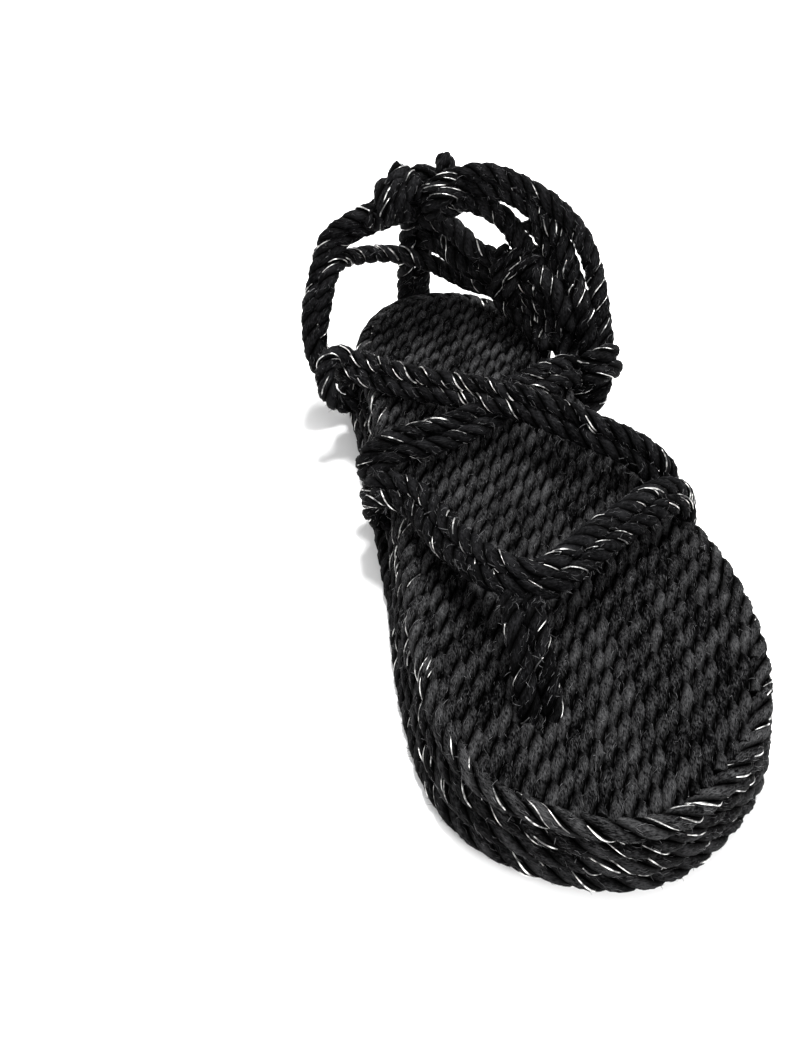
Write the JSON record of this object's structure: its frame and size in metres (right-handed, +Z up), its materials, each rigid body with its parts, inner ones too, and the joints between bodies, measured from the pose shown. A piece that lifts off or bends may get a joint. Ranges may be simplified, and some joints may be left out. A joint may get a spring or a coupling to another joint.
{
  "type": "rope sandal",
  "caption": "Flat strappy rope sandal, left shoe: layered rope sole with a coil under the heel, toe post, front V, crossed instep straps and a tied ankle strap.",
  "frame": {"origin": "on the floor under the centre of the heel coil", "axes": "+X from heel to toe, +Y to the outer side of the foot, +Z up"},
  "size_m": [0.2578, 0.1233, 0.0914],
  "materials": {
    "black_rope": "matte twisted rope",
    "black_tab": "matte woven tab"
  },
  "bodies": {
    "root": {"outsole": "black_rope", "midsole": "black_rope", "insole": "black_rope", "heel_coil": "black_rope", "upper": "black_rope", "ankle_strap": "black_rope", "side_tab": "black_tab"}
  },
  "joints": []
}
